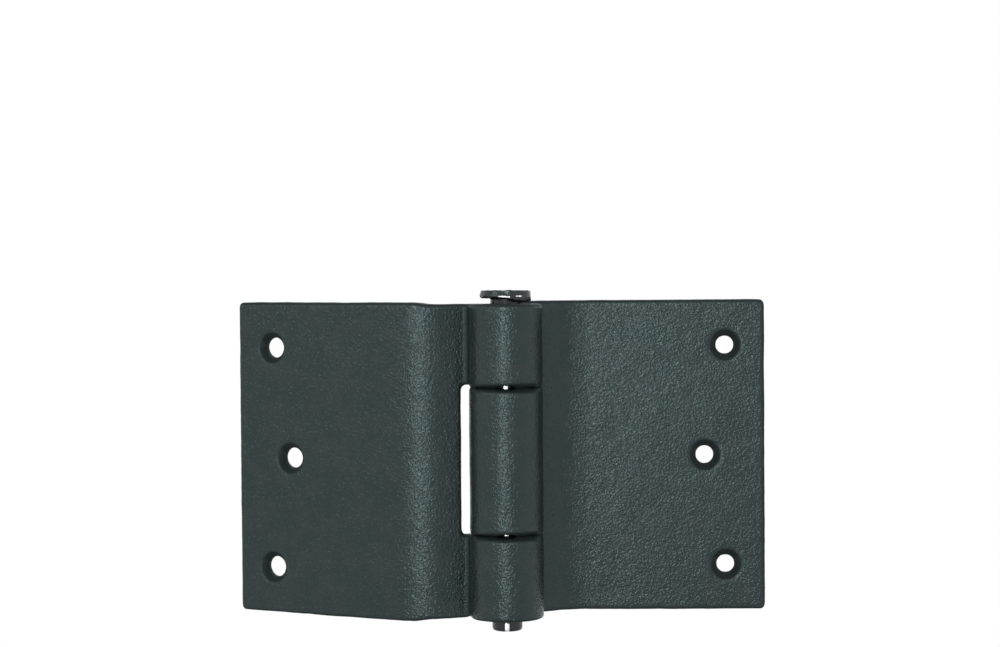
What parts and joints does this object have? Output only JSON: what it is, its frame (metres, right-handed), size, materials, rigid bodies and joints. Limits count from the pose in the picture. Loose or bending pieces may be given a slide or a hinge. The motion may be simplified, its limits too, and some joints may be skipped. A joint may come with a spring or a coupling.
{
  "type": "offset butt hinge",
  "caption": "Heavy butt hinge with two thick joggled leaves set at different depths, countersunk screw holes and a headed pin through knuckles cast with the leaves.",
  "frame": {"origin": "on the back of the frame leaf, midway between its two outer screw holes", "axes": "+Z along the pin towards its head, +X from the pin outward along the frame leaf, +Y out of the frame leaf's back, so the fronts face -Y"},
  "size_m": [0.1697, 0.0399, 0.1063],
  "materials": {
    "leaf_coating": "dark grey-green textured coating, low sheen",
    "pin_finish": "smooth glossy black"
  },
  "bodies": {
    "frame_side": {"frame_leaf": "leaf_coating"},
    "door_side": {"door_leaf": "leaf_coating", "hinge_pin": "pin_finish"}
  },
  "joints": [
    {"name": "pin_turn", "type": "hinge", "parent": "frame_side", "child": "door_side", "pos_m": [-0.0702, -0.02655, 0], "axis": [0, 0, 1], "range_deg": [-73, 206]}
  ]
}
